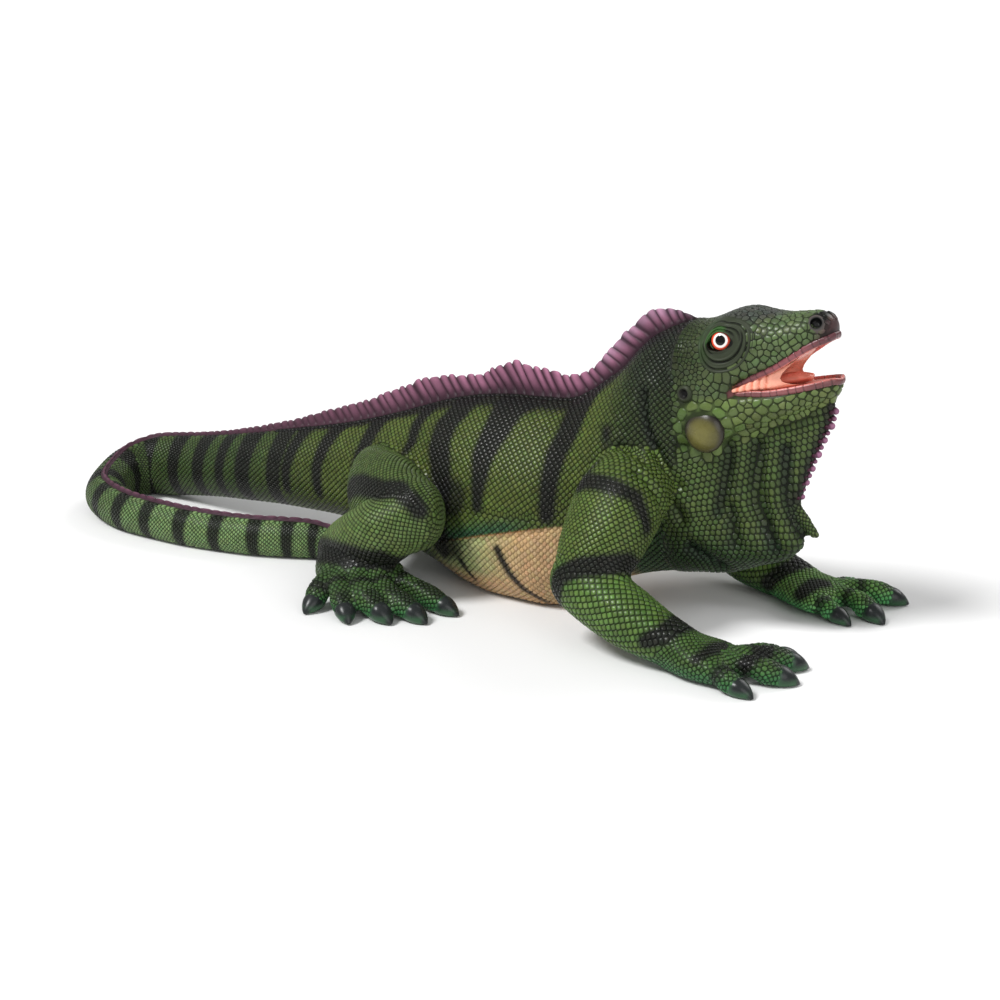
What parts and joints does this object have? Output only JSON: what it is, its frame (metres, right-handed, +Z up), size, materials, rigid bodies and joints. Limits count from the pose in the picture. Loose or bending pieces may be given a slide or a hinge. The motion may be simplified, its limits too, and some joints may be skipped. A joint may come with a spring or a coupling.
{
  "type": "painted iguana statue",
  "caption": "Life-size painted cast figure of a green iguana lying with its chest raised, mouth open, dewlap spread and tail hooked back along the floor.",
  "frame": {"origin": "on the flat underside of the belly, on the middle plane, at floor level", "axes": "+X towards the snout, +Y to the animal's left, +Z up; the floor is z = 0"},
  "size_m": [0.8315, 0.3792, 0.2855],
  "materials": {
    "skin_green": "satin paint over moulded scales, yellow-green with black bands and a tan belly",
    "crest_pink": "satin pink and purple-brown paint on ribbed spines",
    "claw_grey": "glossy dark grey paint",
    "eye_gloss": "glossy painted eye: black pupil, white ring and red rim",
    "ear_dark": "dark satin paint",
    "shield_green": "satin yellow-green paint over a smooth dome",
    "mouth_pink": "semi-gloss orange-pink paint"
  },
  "bodies": {
    "root": {"head": "skin_green", "lower_jaw": "skin_green", "mouth_lining": "mouth_pink", "tongue": "mouth_pink", "eye_R": "eye_gloss", "eye_L": "eye_gloss", "eardrum_R": "ear_dark", "eardrum_L": "ear_dark", "cheek_shield_R": "shield_green", "cheek_shield_L": "shield_green", "neck": "skin_green", "dewlap": "skin_green", "dewlap_spines": "crest_pink", "trunk": "skin_green", "tail_1": "skin_green", "tail_2": "skin_green", "tail_3": "skin_green", "tail_4": "skin_green", "crest_neck": "crest_pink", "crest_back": "crest_pink", "crest_rump": "crest_pink", "crest_tail": "crest_pink", "upper_arm_R": "skin_green", "forearm_R": "skin_green", "hand_R": "skin_green", "claw_finger_1_R": "claw_grey", "claw_finger_2_R": "claw_grey", "claw_finger_3_R": "claw_grey", "claw_finger_4_R": "claw_grey", "claw_finger_5_R": "claw_grey", "upper_arm_L": "skin_green", "forearm_L": "skin_green", "hand_L": "skin_green", "claw_finger_1_L": "claw_grey", "claw_finger_2_L": "claw_grey", "claw_finger_3_L": "claw_grey", "claw_finger_4_L": "claw_grey", "claw_finger_5_L": "claw_grey", "thigh_R": "skin_green", "shank_R": "skin_green", "foot_R": "skin_green", "claw_toe_1_R": "claw_grey", "claw_toe_2_R": "claw_grey", "claw_toe_3_R": "claw_grey", "claw_toe_4_R": "claw_grey", "claw_toe_5_R": "claw_grey", "thigh_L": "skin_green", "shank_L": "skin_green", "foot_L": "skin_green", "claw_toe_1_L": "claw_grey", "claw_toe_2_L": "claw_grey", "claw_toe_3_L": "claw_grey", "claw_toe_4_L": "claw_grey", "claw_toe_5_L": "claw_grey"}
  },
  "joints": []
}
